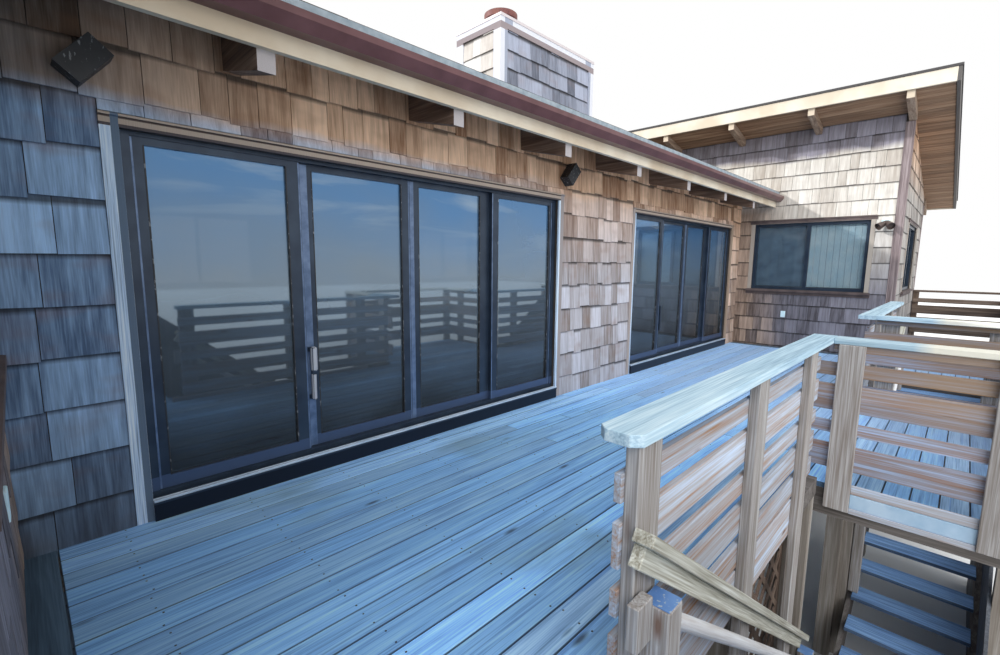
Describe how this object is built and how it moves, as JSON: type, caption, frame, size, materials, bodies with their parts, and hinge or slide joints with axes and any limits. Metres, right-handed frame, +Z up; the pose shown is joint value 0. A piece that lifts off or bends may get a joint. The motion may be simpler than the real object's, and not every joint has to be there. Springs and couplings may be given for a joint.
{
  "type": "apartment building",
  "caption": "Two-storey shingled beach apartment building with shed-roofed wings around a raised timber deck with stairs, railings and wide sliding doors.",
  "frame": {"origin": "on the ground under the middle of the court wall's outer face", "axes": "+X along the court wall, +Y into the building, +Z up"},
  "size_m": [18.44, 10.553, 7.095],
  "materials": {
    "casing_wood": "weathered",
    "dark_frame": "satin",
    "deck_wood": "weathered",
    "floor_slab": "rough",
    "floor_wood": "satin",
    "flue_metal": "satin",
    "glass": "smooth",
    "gutter_paint": "gloss",
    "new_pine": "rough",
    "painted_trim": "painted",
    "rafter_wood": "rough",
    "roof_boards": "rough",
    "roof_shingles": "rough",
    "speaker_plastic": "matte",
    "wall_shingles": "weathered"
  },
  "bodies": {
    "root": {"bridge_deck": "deck_wood", "bridge_end_railing": "new_pine", "bridge_frame": "deck_wood", "chimney_cap_and_flue": "flue_metal", "chimney_chase": "wall_shingles", "corner_boards": "painted_trim", "court_wall": "wall_shingles", "deck_lattice": "deck_wood", "deck_piles": "deck_wood", "door_casings": "casing_wood", "foot_platform": "deck_wood", "front_deck_end_railings": "new_pine", "front_deck_frames": "deck_wood", "front_deck_railings": "new_pine", "front_decks": "deck_wood", "ground_floor": "floor_slab", "left_bridge_railing": "new_pine", "left_court_railing": "new_pine", "left_stair_treads": "deck_wood", "left_wing_back_wall": "wall_shingles", "left_wing_court_wall": "wall_shingles", "left_wing_front_wall": "wall_shingles", "left_wing_outer_wall": "wall_shingles", "left_wing_rafter_tails": "rafter_wood", "left_wing_roof": "roof_boards", "left_wing_roof_shingles": "roof_shingles", "left_wing_roof_trim": "painted_trim", "lower_door_glass": "glass", "lower_left_sliding_door": "dark_frame", "lower_right_sliding_door": "dark_frame", "main_deck": "deck_wood", "main_deck_frame": "deck_wood", "main_fascia": "painted_trim", "main_gutter": "gutter_paint", "main_rafter_tails": "rafter_wood", "main_roof": "roof_boards", "main_roof_shingles": "roof_shingles", "middle_back_wall": "wall_shingles", "right_bridge_railing": "new_pine", "right_court_railing": "new_pine", "right_stair_treads": "deck_wood", "right_wing_back_wall": "wall_shingles", "right_wing_court_wall": "wall_shingles", "right_wing_front_wall": "wall_shingles", "right_wing_outer_wall": "wall_shingles", "right_wing_rafter_tails": "rafter_wood", "right_wing_roof": "roof_boards", "right_wing_roof_shingles": "roof_shingles", "right_wing_roof_trim": "painted_trim", "stair_handrails": "new_pine", "stair_outer_screens": "deck_wood", "stair_stringers": "deck_wood", "upper_door_glass": "glass", "upper_floor": "floor_wood", "upper_left_sliding_door": "dark_frame", "upper_right_sliding_door": "dark_frame", "wall_speakers": "speaker_plastic", "window_frames": "dark_frame", "window_glass": "glass", "window_trim": "casing_wood"}
  },
  "joints": []
}
